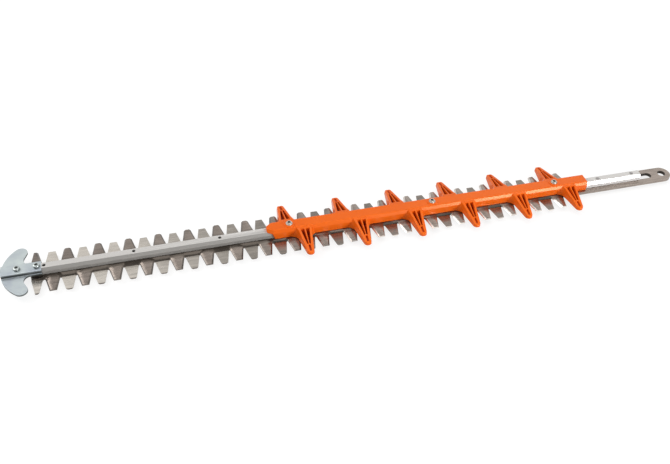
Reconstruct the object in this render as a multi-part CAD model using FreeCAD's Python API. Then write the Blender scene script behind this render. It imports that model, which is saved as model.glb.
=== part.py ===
import FreeCAD, Part
import math
import os

# Double-sided hedge trimmer cutter bar, in millimetres.
# Origin: underside of the guide rail, midway between its two machine mounting holes.
# +X runs towards the machine, +Z up from the blades towards the rail's top.
# Driving dimensions come first, then the places worked out from them, then the pieces.

Vector = FreeCAD.Vector

# Bolt line along the rail
bolt_pitch = 100.0
bolt_count = 7
mount_spacing = 50.0
mount_hole_diameter = 5.6

# Clearances
running_gap = 0.15          # between sliding faces in the blade stack
shoulder_play = 0.2         # bolt shoulder to slot wall, each side
slot_end_play = 0.45        # bolt shoulder to slot end at full travel
washer_play = 0.15          # bolt shoulder to washer bore, radial
thread_play = 0.05          # thread to its hole, radial
hole_play = 0.2             # screw to the clearance hole that it passes, radial
channel_play = 0.1          # rail side to the channel that sits over it
screw_end_room = 0.5        # below a screw's end in its hole
cut_overrun = 1.0           # a cutting shape past the face that it cuts

# Blades
tooth_pitch = 35.0
toothed_length = 665.0      # first to last tooth on the longer side
blade_thickness = 2.1
blade_body_width = 24.0
blade_tip_width = 63.5      # across the tooth tips
tooth_tip_width = 8.0
tooth_root_width = 16.5
gullet_radius = 3.5
edge_land = 0.4             # upright part of a tooth's edge, below its bevel
bevel_width = 1.8
bevel_runout = 6.0
first_tooth_lead = 9.8      # first tooth ahead of the first bolt
blade_end_lead = 6.0        # blade's end ahead of its first tooth
blade_end_taper = 4.0       # blade's end narrowed on the side that has no tooth there
end_tooth_half_tip = 2.4    # first tooth's tip, on the blade's end side
end_tooth_shift = 1.6       # first tooth's other flank, towards the blade's end
shank_slot_reach = 32.2     # slot's end behind the rear mounting hole
shank_slot_width = 10.0
drive_hole_offset = 48.2    # drive hole behind the rear mounting hole
drive_hole_diameter = 10.5

# Blade bolts and thrust washers
bolt_shoulder_diameter = 7.6
bolt_thread_diameter = 5.0
bolt_thread_length = 6.0
bolt_head_diameter = 13.0
bolt_head_height = 3.0
bolt_head_radius = 0.8
bolt_socket_diameter = 5.2
bolt_socket_depth = 2.0
tap_diameter = 4.0          # hole that shows on the rail's top above a bolt
washer_diameter = 16.0
washer_thickness = 1.0

# Guide rail
rail_width = 12.0
rail_top_width = 8.0
rail_height = 8.7
rail_shoulder_height = 4.5
rail_edge_radius = 0.5
rail_rear_margin = 11.5     # behind the rear mounting hole
step_land = 0.8             # rail left between the first tap hole and the step
tongue_front_margin = 6.4   # ahead of the front tip screw

# Tip guard
tip_sheet = 2.0
tip_length = 44.6
brim_lift = 2.6             # brim's underside above the rail's underside
strap_width = 18.4
crescent_radius = 46.5
crescent_depth = 29.2       # nose to the lobes' ends
lobe_radius = 7.6
bite_radius = 7.4
bite_setback = 32.1         # nose to the middle of the bite behind each lobe
tip_bend_radius = 1.6
tip_screw_setback = 5.2     # rear tip screw ahead of the step
tip_screw_spacing = 21.4

# Tip and guard screws
screw_diameter = 4.0
tip_screw_grip = 5.0        # thread held by the rail
tip_screw_head_diameter = 7.8
tip_screw_head_height = 2.8
tip_screw_head_radius = 1.6
guard_screw_grip = 6.0
guard_flange_diameter = 8.2
guard_flange_height = 0.9
guard_head_diameter = 6.2
guard_head_height = 2.2
screw_socket_diameter = 4.2
screw_socket_depth = 1.5
socket_lobe_share = 0.26    # of a driver socket's diameter
socket_core_share = 0.78

# Blade guard
guard_wall = 3.0
guard_roof = 4.4
guard_lift = 0.3            # wall's lower edge above the rail's underside
guard_slope_run = 2.1       # shoulder between roof and wall, across the bar
guard_slope_drop = 4.2      # shoulder's height
guard_edge_radius = 1.2
free_bolt_count = 3         # bolts ahead of the guard
guard_front_reach = 43.8    # guard's front end ahead of the first bolt under it
guard_rear_gap = 19.8       # guard's rear end ahead of the front mounting hole
guard_nose_width = 8.0
guard_nose_length = 7.0
guard_visor_length = 5.7    # roof ahead of the walls' front edges
guard_visor_lift = 7.7      # its lower edge above the walls' foot
guard_wall_rake = 3.3       # walls' front edges, foot behind top
boss_diameter = 13.0
boss_height = 0.9
front_screw_lead = 15.8     # ahead of the first bolt under the guard
middle_screw_lead = 32.8    # ahead of the last bolt but one
rear_screw_lag = 35.2       # behind the last bolt

# Guard fangs
fang_reach = 44.8           # from the rail's centre line
fang_lift = 0.6
fang_root_width = 19.5
fang_tip_width = 8.4
fang_root_height = 12.5
fang_tip_height = 4.2
fang_tip_radius = 3.9
fang_nose_radius = 1.5
fang_draft_deg = 7.0
fang_pitch = 70.5
fang_left_setback = 26.2    # first fang on the +Y side, from the guard's front end
fang_right_setback = 45.0   # first fang on the -Y side
fang_end_margin = 20.0
flare_long = 6.5
flare_long_rise = 3.5
flare_long_radius = 6.0
flare_short = 4.0
flare_short_rise = 3.0
flare_short_radius = 2.5
flare_top_share = 0.15      # of the flares that is left at the root's top
fang_rib = 2.7
fang_floor = 1.2
centre_rib_root = 2.3
centre_rib_tip = 1.3
groove_start = 1.4          # outside the guard's wall
groove_radius = 0.6
pocket_width = 2.4
pocket_length = 8.5
pocket_depth = 2.0
pocket_gap = 1.2            # from the grooves' outer end
pocket_tip_margin = 3.1     # from the fang's tip
end_round_share = 0.94      # of the half width, at an end that is rounded all over

# Places worked out from the driving dimensions
stroke = tooth_pitch / 2
mount_x = [-mount_spacing / 2, mount_spacing / 2]
bolt_x = [mount_x[0] - bolt_pitch * (bolt_count - i) for i in range(bolt_count)]
first_tooth_x = bolt_x[0] - first_tooth_lead
drive_hole_x = mount_x[1] + drive_hole_offset
slot_width = bolt_shoulder_diameter + 2 * shoulder_play
slot_length = bolt_shoulder_diameter + stroke + 2 * slot_end_play

upper_top_z = -running_gap
upper_bottom_z = upper_top_z - blade_thickness
lower_top_z = upper_bottom_z - running_gap
lower_bottom_z = lower_top_z - blade_thickness
shear_z = (upper_bottom_z + lower_top_z) / 2
washer_top_z = lower_bottom_z - running_gap
bolt_head_top_z = washer_top_z - washer_thickness

step_x = bolt_x[0] - tap_diameter / 2 - step_land
tongue_top_z = rail_height - tip_sheet
tip_screw_x = [step_x - tip_screw_setback - tip_screw_spacing, step_x - tip_screw_setback]
tongue_front_x = tip_screw_x[0] - tongue_front_margin
rail_rear_x = mount_x[1] + rail_rear_margin
nose_x = step_x - tip_length

channel_half = rail_width / 2 + channel_play
guard_half = channel_half + guard_wall
guard_top_z = rail_height + guard_roof
boss_top_z = guard_top_z + boss_height
guard_front_x = bolt_x[free_bolt_count] - guard_front_reach
guard_rear_x = mount_x[0] - guard_rear_gap
guard_length = guard_rear_x - guard_front_x
guard_screw_x = [bolt_x[free_bolt_count] - front_screw_lead,
                 bolt_x[-2] - middle_screw_lead,
                 bolt_x[-1] + rear_screw_lag]
guard_roof_half = guard_half - guard_slope_run
fang_root_y = guard_roof_half   # buried in the wall
fang_top_half_loss = math.tan(math.radians(fang_draft_deg)) * (fang_root_height - fang_lift)


def rounded_wire(corners, to_point):
    """Closed wire through (u, v, radius) corners, each rounded by its radius; to_point maps u, v to space."""
    count = len(corners)
    runs = []
    for i, (u, v, radius) in enumerate(corners):
        corner = Vector(u, v, 0)
        before = (Vector(*corners[i - 1][:2], 0) - corner).normalize()
        after = (Vector(*corners[(i + 1) % count][:2], 0) - corner).normalize()
        if radius == 0:
            runs.append((corner, None, corner))
            continue
        half = before.getAngle(after) / 2
        inward = (before + after).normalize()
        setback = radius / math.tan(half)
        middle = corner + inward * (radius / math.sin(half) - radius)
        runs.append((corner + before * setback, middle, corner + after * setback))

    def placed(point):
        return to_point(point.x, point.y)

    edges = []
    for i, (start, middle, end) in enumerate(runs):
        if middle is not None:
            edges.append(Part.Arc(placed(start), placed(middle), placed(end)).toShape())
        next_start = runs[(i + 1) % count][0]
        edges.append(Part.makeLine(placed(end), placed(next_start)))
    return Part.Wire(edges)


def plan_at(z):
    """Map for outlines drawn in plan at height z."""
    return lambda x, y: Vector(x, y, z)


def section_at(x):
    """Map for sections across the bar at station x."""
    return lambda y, z: Vector(x, y, z)


def plan_prism(corners, low_z, high_z):
    """Plan outline carried up from low_z to high_z."""
    face = Part.Face(rounded_wire(corners, plan_at(low_z)))
    return face.extrude(Vector(0, 0, high_z - low_z))


def bar_prism(corners, low_x, high_x):
    """Section carried along the bar from low_x to high_x."""
    face = Part.Face(rounded_wire(corners, section_at(low_x)))
    return face.extrude(Vector(high_x - low_x, 0, 0))


def upright_cylinder(diameter, x, low_z, high_z):
    """Round bar on the centre line at station x."""
    return Part.makeCylinder(diameter / 2, high_z - low_z, Vector(x, 0, low_z))


def slot_tool(start_x, end_x, width, low_z, high_z):
    """Slot with round ends on the centre line, from start_x to end_x over its ends."""
    half = width / 2
    corner = Vector(start_x + half, -half, low_z)
    straight = Part.makeBox(end_x - start_x - width, width, high_z - low_z, corner)
    ends = [upright_cylinder(width, x, low_z, high_z) for x in (start_x + half, end_x - half)]
    return straight.multiFuse(ends).removeSplitter()


def six_lobe_tool(diameter, x, low_z, high_z):
    """Six-lobed driver socket: a core with six round lobes that reach the stated diameter."""
    lobe = socket_lobe_share * diameter
    circle = (diameter - lobe) / 2
    core = upright_cylinder(socket_core_share * diameter, x, low_z, high_z)
    lobes = []
    for i in range(6):
        angle = math.radians(60 * i)
        foot = Vector(x + circle * math.cos(angle), circle * math.sin(angle), low_z)
        lobes.append(Part.makeCylinder(lobe / 2, high_z - low_z, foot))
    return core.multiFuse(lobes).removeSplitter()


def edges_at(shape, wanted):
    """Edges whose every vertex passes the test."""
    return [edge for edge in shape.Edges if all(wanted(vertex.Point) for vertex in edge.Vertexes)]


def near(value, target):
    """True where two lengths are the same within a micrometre."""
    return abs(value - target) < 1e-3


class ToothSide:
    """One toothed side of a blade, drawn outwards from the bar's centre line.

    Each gap between teeth runs down one straight flank, round the gullet, along its floor and up
    the next flank. An inset draws the same line that far inside the metal, for the bevel's top edge.
    """

    floor = blade_body_width / 2
    tip = blade_tip_width / 2
    slope = math.atan2((tooth_root_width - tooth_tip_width) / 2, tip - floor)
    gullet_setback = tooth_root_width / 2 + gullet_radius * (1 - math.sin(slope)) / math.cos(slope)

    def __init__(self, teeth_x, sign, z, inset):
        """Keep the side's tooth stations, its sign in Y, its height and its inset."""
        self.teeth_x = teeth_x
        self.sign = sign
        self.z = z
        self.inset = inset

    def point(self, x, outward):
        """Point of the outline at station x, that far out from the centre line."""
        return Vector(x, self.sign * outward, self.z)

    def tip_corner(self, x, way):
        """Corner of a tooth's tip on its +X or -X side."""
        return self.point(x + way * (tooth_tip_width / 2 - self.inset / math.cos(self.slope)), self.tip)

    def gullet_floor(self, x, way):
        """Where a tooth's gullet meets its floor."""
        return self.point(x + way * self.gullet_setback, self.floor - self.inset)

    def flank(self, x, way):
        """Edges from a tooth's tip corner down its flank and round its gullet to the floor."""
        radius = gullet_radius + self.inset
        centre_x = x + way * self.gullet_setback
        centre_out = self.floor + gullet_radius

        def on_gullet(angle):
            x_back = way * radius * math.cos(angle)
            return self.point(centre_x - x_back, centre_out - radius * math.sin(angle))

        start = on_gullet(self.slope)
        middle = on_gullet((self.slope + math.pi / 2) / 2)
        end = self.gullet_floor(x, way)
        return [(self.tip_corner(x, way), start), (start, middle, end)]

    def runout(self, x, way):
        """Point on the plain edge where the bevel beside a tooth has run out."""
        return self.point(x + way * (self.gullet_setback + bevel_runout), self.floor)


def reverse_runs(runs):
    """The same edges walked the other way."""
    return [tuple(reversed(run)) for run in reversed(runs)]


def side_runs(side, closed_start):
    """Edges of one side from the blade's front end to its shank; closed_start leaves out the first flank."""
    runs = []
    if not closed_start:
        first = side.teeth_x[0]
        runs.append((side.runout(first, -1), side.gullet_floor(first, -1)))
        runs += reverse_runs(side.flank(first, -1))
    for x, next_x in zip(side.teeth_x, side.teeth_x[1:]):
        tip_start = runs[-1][-1] if runs else side.point(first_tooth_x - end_tooth_half_tip, side.tip)
        runs.append((tip_start, side.tip_corner(x, 1)))
        runs += side.flank(x, 1)
        runs.append((side.gullet_floor(x, 1), side.gullet_floor(next_x, -1)))
        runs += reverse_runs(side.flank(next_x, -1))
    last = side.teeth_x[-1]
    runs.append((runs[-1][-1], side.tip_corner(last, 1)))
    runs += side.flank(last, 1)
    runs.append((side.gullet_floor(last, 1), side.runout(last, 1)))
    return runs


def blade_wire(z, inset):
    """Outline of the upper blade at height z."""
    count = int(toothed_length / tooth_pitch + 1e-6) + 1
    left_x = [first_tooth_x + i * tooth_pitch for i in range(count)]
    right_x = [x + tooth_pitch / 2 for x in left_x[:-1]]
    left_x[0] -= end_tooth_shift
    left = ToothSide(left_x, 1, z, inset)
    right = ToothSide(right_x, -1, z, inset)
    end_x = first_tooth_x - blade_end_lead
    left_runs = side_runs(left, True)
    right_runs = side_runs(right, False)
    shank_left = left.point(drive_hole_x, left.floor)
    shank_right = right.point(drive_hole_x, right.floor)
    shank_end = Vector(drive_hole_x + left.floor, 0, z)
    front_left = left.point(end_x, left.floor)
    front_right = right.point(end_x, right.floor - blade_end_taper)
    runs = left_runs + [(left_runs[-1][-1], shank_left), (shank_left, shank_end, shank_right)]
    runs += [(shank_right, right_runs[-1][-1])] + reverse_runs(right_runs)
    runs += [(right_runs[0][0], front_right), (front_right, front_left), (front_left, left_runs[0][0])]
    edges = [Part.Arc(*run).toShape() if len(run) == 3 else Part.makeLine(*run) for run in runs]
    return Part.Wire(edges)


def make_upper_blade():
    """Upper blade: full outline on the cutting face, bevelled along its gullets up to the top face."""
    wires = [blade_wire(upper_bottom_z, 0), blade_wire(upper_bottom_z + edge_land, 0),
             blade_wire(upper_top_z, bevel_width)]
    blade = Part.makeLoft(wires, True, True)
    below, above = upper_bottom_z - cut_overrun, upper_top_z + cut_overrun
    half_slot = slot_length / 2
    tools = [slot_tool(x - half_slot, x + half_slot, slot_width, below, above) for x in bolt_x + mount_x[:1]]
    shank_slot_end = mount_x[1] + shank_slot_reach
    tools.append(slot_tool(mount_x[1] - half_slot, shank_slot_end, shank_slot_width, below, above))
    tools.append(upright_cylinder(drive_hole_diameter, drive_hole_x, below, above))
    return blade.cut(tools)


def make_lower_blade(upper_blade):
    """Lower blade: the same blade turned over about the bar's length in the shear plane."""
    return upper_blade.copy().rotate(Vector(0, 0, shear_z), Vector(1, 0, 0), 180)


def rail_corners(side_room, top_z):
    """Rail section, or the channel over it with side_room on each side, up to top_z."""
    half = rail_width / 2 + side_room
    top_half = rail_top_width / 2 + side_room
    return [(-half, 0, 0), (half, 0, 0), (half, rail_shoulder_height, 0), (top_half, top_z, 0),
            (-top_half, top_z, 0), (-half, rail_shoulder_height, 0)]


def make_guide_rail():
    """Extruded rail with a lowered tongue at its front and all its screw holes."""
    rail = bar_prism(rail_corners(0, rail_height), tongue_front_x, rail_rear_x)
    long_edges = edges_at(rail, lambda p: p.z > rail_shoulder_height - 1e-3)
    long_edges = [edge for edge in long_edges if near(edge.Length, rail_rear_x - tongue_front_x)]
    rail = rail.makeFillet(rail_edge_radius, long_edges)
    step = Part.makeBox(step_x - tongue_front_x, rail_width, tip_sheet,
                        Vector(tongue_front_x, -rail_width / 2, tongue_top_z))
    tools = [step]
    bolt_hole = bolt_thread_diameter + 2 * thread_play
    for x in bolt_x:
        tools.append(upright_cylinder(bolt_hole, x, 0, bolt_thread_length + screw_end_room))
        tools.append(upright_cylinder(tap_diameter, x, 0, rail_height))
    tools += [upright_cylinder(mount_hole_diameter, x, 0, rail_height) for x in mount_x]
    screw_hole = screw_diameter + 2 * thread_play
    tip_hole_z = tongue_top_z - tip_screw_grip - screw_end_room
    guard_hole_z = rail_height - guard_screw_grip - screw_end_room
    tools += [upright_cylinder(screw_hole, x, tip_hole_z, tongue_top_z) for x in tip_screw_x]
    tools += [upright_cylinder(screw_hole, x, guard_hole_z, rail_height) for x in guard_screw_x]
    return rail.cut(tools)


def make_blade_bolt(x):
    """Shoulder bolt from below: head, shoulder through both blades, thread into the rail."""
    head_bottom_z = bolt_head_top_z - bolt_head_height
    head = upright_cylinder(bolt_head_diameter, x, head_bottom_z, bolt_head_top_z)
    rim = edges_at(head, lambda p: near(p.z, head_bottom_z))
    head = head.makeFillet(bolt_head_radius, rim)
    shoulder = upright_cylinder(bolt_shoulder_diameter, x, bolt_head_top_z, 0)
    thread = upright_cylinder(bolt_thread_diameter, x, 0, bolt_thread_length)
    socket = six_lobe_tool(bolt_socket_diameter, x, head_bottom_z, head_bottom_z + bolt_socket_depth)
    return head.multiFuse([shoulder, thread]).removeSplitter().cut(socket)


def make_thrust_washer(x):
    """Flat washer between a bolt's head and the lower blade."""
    bore = bolt_shoulder_diameter + 2 * washer_play
    disc = upright_cylinder(washer_diameter, x, bolt_head_top_z, washer_top_z)
    return disc.cut(upright_cylinder(bore, x, bolt_head_top_z, washer_top_z))


def tip_guard_outline():
    """Plan edges of the tip guard: a strap, a bite behind each lobe, round lobes and one outer arc."""
    half_strap = strap_width / 2
    outer_x = nose_x + crescent_radius
    lobe_x = nose_x + crescent_depth - lobe_radius
    lobe_y = math.sqrt((crescent_radius - lobe_radius) ** 2 - (outer_x - lobe_x) ** 2)
    bite_x = nose_x + bite_setback
    bite_y = half_strap + bite_radius
    across = math.hypot(bite_x - lobe_x, bite_y - lobe_y)
    lean = math.atan2(bite_y - lobe_y, bite_x - lobe_x) + math.acos((lobe_radius + bite_radius) / across)
    outer_angle = math.atan2(lobe_y, lobe_x - outer_x)

    def half_runs(sign):
        def spot(x, y, radius, angle):
            return Vector(x + radius * math.cos(angle), sign * (y + radius * math.sin(angle)), 0)

        strap_end = Vector(step_x, sign * half_strap, 0)
        bite_start = Vector(bite_x, sign * half_strap, 0)
        bite_end = spot(bite_x, bite_y, bite_radius, lean - math.pi)
        bite_middle = spot(bite_x, bite_y, bite_radius, (lean - math.pi - math.pi / 2) / 2)
        lobe_start = spot(lobe_x, lobe_y, lobe_radius, lean)
        lobe_middle = spot(lobe_x, lobe_y, lobe_radius, (lean + outer_angle) / 2)
        lobe_end = spot(lobe_x, lobe_y, lobe_radius, outer_angle)
        return [(strap_end, bite_start), (bite_start, bite_middle, bite_end), (bite_end, lobe_start),
                (lobe_start, lobe_middle, lobe_end)]

    upper, lower = half_runs(1), half_runs(-1)
    nose = (upper[-1][-1], Vector(nose_x, 0, 0), lower[-1][-1])
    runs = upper + [nose] + reverse_runs(lower) + [(lower[0][0], upper[0][0])]
    return Part.Wire([Part.Arc(*run).toShape() if len(run) == 3 else Part.makeLine(*run) for run in runs])


def make_tip_guard():
    """Folded sheet: a raised channel over the rail's tongue between two brims, cut to the outline."""
    outer_half = channel_half + tip_sheet
    brim_top_z = brim_lift + tip_sheet
    edge = crescent_radius
    bend, inside = tip_bend_radius, tip_bend_radius / 2
    section = [(-edge, brim_lift, 0), (-channel_half, brim_lift, inside), (-channel_half, tongue_top_z, 0),
               (channel_half, tongue_top_z, 0), (channel_half, brim_lift, inside), (edge, brim_lift, 0),
               (edge, brim_top_z, 0), (outer_half, brim_top_z, inside), (outer_half, rail_height, bend),
               (-outer_half, rail_height, bend), (-outer_half, brim_top_z, inside), (-edge, brim_top_z, 0)]
    folded = bar_prism(section, nose_x - cut_overrun, step_x)
    plan = Part.Face(tip_guard_outline()).extrude(Vector(0, 0, rail_height))
    holes = [upright_cylinder(screw_diameter + 2 * hole_play, x, 0, rail_height) for x in tip_screw_x]
    return folded.common(plan).cut(holes)


def make_tip_screw(x):
    """Round-headed screw through the tip guard into the rail's tongue."""
    top_z = rail_height + tip_screw_head_height
    head = upright_cylinder(tip_screw_head_diameter, x, rail_height, top_z)
    head = head.makeFillet(tip_screw_head_radius, edges_at(head, lambda p: near(p.z, top_z)))
    shank = upright_cylinder(screw_diameter, x, tongue_top_z - tip_screw_grip, rail_height)
    socket = six_lobe_tool(screw_socket_diameter, x, top_z - screw_socket_depth, top_z)
    return head.fuse(shank).removeSplitter().cut(socket)


def make_guard_screw(x):
    """Flange screw through the guard's boss into the rail."""
    top_z = boss_top_z + guard_head_height
    flange = upright_cylinder(guard_flange_diameter, x, boss_top_z, boss_top_z + guard_flange_height)
    head = upright_cylinder(guard_head_diameter, x, boss_top_z, top_z)
    shank = upright_cylinder(screw_diameter, x, rail_height - guard_screw_grip, boss_top_z)
    socket = six_lobe_tool(screw_socket_diameter, x, top_z - screw_socket_depth, top_z)
    return flange.multiFuse([head, shank]).removeSplitter().cut(socket)


def fang_half_width(outward):
    """Half the width of a fang's underside at that distance from the centre line."""
    share = (outward - guard_half) / (fang_reach - guard_half)
    return (fang_root_width + share * (fang_tip_width - fang_root_width)) / 2


def fang_top_z(outward):
    """Height of a fang's sloping top at that distance from the centre line."""
    share = (outward - guard_half) / (fang_reach - guard_half)
    return fang_root_height + share * (fang_tip_height - fang_root_height)


def fang_wire(z, half_loss, flare):
    """Plan of a fang that points to +Y: half_loss off a flank, a share of its flares, the long one at +X."""
    long_x = fang_root_width / 2 + flare * flare_long - half_loss
    short_x = fang_root_width / 2 + flare * flare_short - half_loss
    long_out = guard_half + flare * flare_long_rise
    short_out = guard_half + flare * flare_short_rise
    tip_half = fang_tip_width / 2 - half_loss
    tip_radius = min(fang_tip_radius, end_round_share * tip_half)
    corners = [(long_x, fang_root_y, 0), (long_x, guard_half, 0),
               (fang_half_width(long_out) - half_loss, long_out, flare * flare_long_radius),
               (tip_half, fang_reach, tip_radius), (-tip_half, fang_reach, tip_radius),
               (half_loss - fang_half_width(short_out), short_out, flare * flare_short_radius),
               (-short_x, guard_half, 0), (-short_x, fang_root_y, 0)]
    return rounded_wire(corners, plan_at(z))


def make_fang():
    """Fang at station zero that points to +Y: drafted flanks, a sloping top, two grooves and a pocket."""
    foot = fang_wire(fang_lift, 0, 1)
    crown = fang_wire(fang_root_height, fang_top_half_loss, flare_top_share)
    drafted = Part.makeLoft([foot, crown], True, True)
    half_span = fang_root_width + flare_long
    profile = [(fang_root_y, fang_lift, 0), (fang_reach, fang_lift, 0),
               (fang_reach, fang_tip_height, fang_nose_radius),
               (guard_half, fang_root_height, 0), (fang_root_y, fang_root_height, 0)]
    fang = drafted.common(bar_prism(profile, -half_span, half_span))
    start = guard_half + groove_start
    pocket_end = fang_reach - pocket_tip_margin
    pocket_start = pocket_end - pocket_length
    end = pocket_start - pocket_gap
    floor_z = fang_lift + fang_floor
    top_z = fang_root_height + cut_overrun
    outer_start = fang_half_width(start) - fang_top_half_loss - fang_rib
    outer_end = fang_half_width(end) - fang_top_half_loss - fang_rib
    end_radius = min(groove_radius, end_round_share * (outer_end - centre_rib_tip / 2) / 2)
    tools = []
    for sign in (1, -1):
        corners = [(sign * centre_rib_root / 2, start, groove_radius),
                   (sign * outer_start, start, groove_radius),
                   (sign * outer_end, end, end_radius),
                   (sign * centre_rib_tip / 2, end, end_radius)]
        tools.append(plan_prism(corners, floor_z, top_z))
    half = pocket_width / 2
    corner = end_round_share * half
    pocket = [(half, pocket_start, corner), (half, pocket_end, corner),
              (-half, pocket_end, corner), (-half, pocket_start, corner)]
    tools.append(plan_prism(pocket, fang_top_z((pocket_start + pocket_end) / 2) - pocket_depth, top_z))
    return fang.cut(tools)


def fang_stations(setback):
    """Stations of a row of fangs whose first lies setback behind the guard's front end."""
    count = int((guard_length - setback - fang_end_margin) / fang_pitch) + 1
    return [guard_front_x + setback + i * fang_pitch for i in range(count)]


def make_blade_guard():
    """Moulded guard: a channel over the rail with a visor in front, screw bosses and two rows of fangs."""
    shoulder_z = guard_top_z - guard_slope_drop
    body_section = [(-guard_half, guard_lift, 0), (guard_half, guard_lift, 0),
                    (guard_half, shoulder_z, guard_edge_radius),
                    (guard_roof_half, guard_top_z, guard_edge_radius),
                    (-guard_roof_half, guard_top_z, guard_edge_radius),
                    (-guard_half, shoulder_z, guard_edge_radius)]
    body = bar_prism(body_section, guard_front_x, guard_rear_x)
    nose_half = guard_nose_width / 2
    nose_tools = []
    for sign in (1, -1):
        corner = [(guard_front_x, sign * nose_half, 0), (guard_front_x, sign * guard_half, 0),
                  (guard_front_x + guard_nose_length, sign * guard_half, 0)]
        nose_tools.append(plan_prism(corner, guard_lift, guard_top_z))
    visor_z = guard_lift + guard_visor_lift
    wall_top_x = guard_front_x + guard_visor_length
    under_visor = Part.makePolygon([Vector(guard_front_x, -guard_half, guard_lift),
                                    Vector(wall_top_x + guard_wall_rake, -guard_half, guard_lift),
                                    Vector(wall_top_x, -guard_half, visor_z),
                                    Vector(guard_front_x, -guard_half, visor_z),
                                    Vector(guard_front_x, -guard_half, guard_lift)])
    nose_tools.append(Part.Face(under_visor).extrude(Vector(0, 2 * guard_half, 0)))
    body = body.cut(nose_tools)
    bosses = [upright_cylinder(boss_diameter, x, rail_height, boss_top_z) for x in guard_screw_x]
    fang = make_fang()
    left_fangs = [fang.translated(Vector(x, 0, 0)) for x in fang_stations(fang_left_setback)]
    turned = fang.rotated(Vector(0, 0, 0), Vector(0, 0, 1), 180)
    right_fangs = [turned.translated(Vector(x, 0, 0)) for x in fang_stations(fang_right_setback)]
    body = body.multiFuse(bosses + left_fangs + right_fangs).removeSplitter()
    channel = bar_prism(rail_corners(channel_play, rail_height), guard_front_x, guard_rear_x)
    hole = screw_diameter + 2 * hole_play
    holes = [upright_cylinder(hole, x, rail_height, boss_top_z) for x in guard_screw_x]
    return body.cut([channel] + holes)


def main():
    """Make every piece and write one file for each."""
    upper_blade = make_upper_blade()
    pieces = {
        "guide_rail": make_guide_rail(),
        "upper_blade": upper_blade,
        "lower_blade": make_lower_blade(upper_blade),
        "blade_guard": make_blade_guard(),
        "tip_guard": make_tip_guard(),
    }
    for place, x in zip(("front", "middle", "rear"), guard_screw_x):
        pieces[f"guard_screw_{place}"] = make_guard_screw(x)
    for place, x in zip(("front", "rear"), tip_screw_x):
        pieces[f"tip_screw_{place}"] = make_tip_screw(x)
    for number, x in enumerate(bolt_x, start=1):
        pieces[f"blade_bolt_{number}"] = make_blade_bolt(x)
        pieces[f"thrust_washer_{number}"] = make_thrust_washer(x)
    os.makedirs("parts", exist_ok=True)
    for name, shape in pieces.items():
        shape.exportStep(f"parts/{name}.step")
        box = shape.BoundBox
        print(f"{name}: {len(shape.Solids)} solid, {shape.Volume:.0f} mm3, valid {shape.isValid()}, "
              f"X {box.XMin:.1f} to {box.XMax:.1f}, Y {box.YMin:.1f} to {box.YMax:.1f}, "
              f"Z {box.ZMin:.2f} to {box.ZMax:.2f}")


main()
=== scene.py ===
"""Looks of a double-sided hedge trimmer cutter bar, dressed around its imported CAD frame.

Sizes in the dataclasses are millimetres in the CAD frame. Meshes are made in metres.
"""

import logging
import math
from dataclasses import dataclass, field
from enum import Enum
from typing import Any

import bmesh
import bpy
import numpy as np
from mathutils import Matrix, Vector


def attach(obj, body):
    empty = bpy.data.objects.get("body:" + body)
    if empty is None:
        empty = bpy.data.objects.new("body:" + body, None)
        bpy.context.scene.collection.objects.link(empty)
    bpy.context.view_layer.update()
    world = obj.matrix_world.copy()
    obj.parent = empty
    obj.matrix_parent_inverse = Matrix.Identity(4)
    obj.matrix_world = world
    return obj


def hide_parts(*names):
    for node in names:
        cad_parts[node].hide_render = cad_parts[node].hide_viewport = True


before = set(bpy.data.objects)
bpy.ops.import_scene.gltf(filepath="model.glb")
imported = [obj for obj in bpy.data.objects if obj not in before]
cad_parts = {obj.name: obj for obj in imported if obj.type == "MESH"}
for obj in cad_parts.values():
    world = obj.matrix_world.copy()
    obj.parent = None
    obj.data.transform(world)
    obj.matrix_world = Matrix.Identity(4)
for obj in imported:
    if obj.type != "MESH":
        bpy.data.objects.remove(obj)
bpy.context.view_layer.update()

MM = 0.001
MERGE_DISTANCE = 1e-6  # metres
RELIEF_DEPTH = 0.0001  # metres, for bump maps
GUARD_SCREW_X = (-440.8, -257.8, -89.8)
WALL_STEPS = np.array([-0.6, -0.3, -0.1, 0.1, 0.3, 0.6])  # points across a steep wall, in its widths

Colour = tuple[float, float, float]
Pair = tuple[float, float]
Border = tuple[float, float]  # where a mask changes, and half of the change's width
Profile = tuple[Pair, ...]  # radius and height of each point
Array = np.ndarray
Tree = bpy.types.NodeTree
Node = bpy.types.Node
Socket = bpy.types.NodeSocket
Material = bpy.types.Material
Mesh = bpy.types.Mesh

log = logging.getLogger("cutter_bar")


class Body(Enum):
    """CAD bodies that pieces ride on."""

    FRAME = "frame"
    UPPER = "upper_blade"
    LOWER = "lower_blade"


class Slot(Enum):
    """Material slots of the record."""

    RAIL = "rail_aluminium"
    BLADE = "blade_steel"
    GUARD = "guard_plastic"
    PLATED = "plated_steel"
    BOLT = "bolt_steel"


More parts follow.
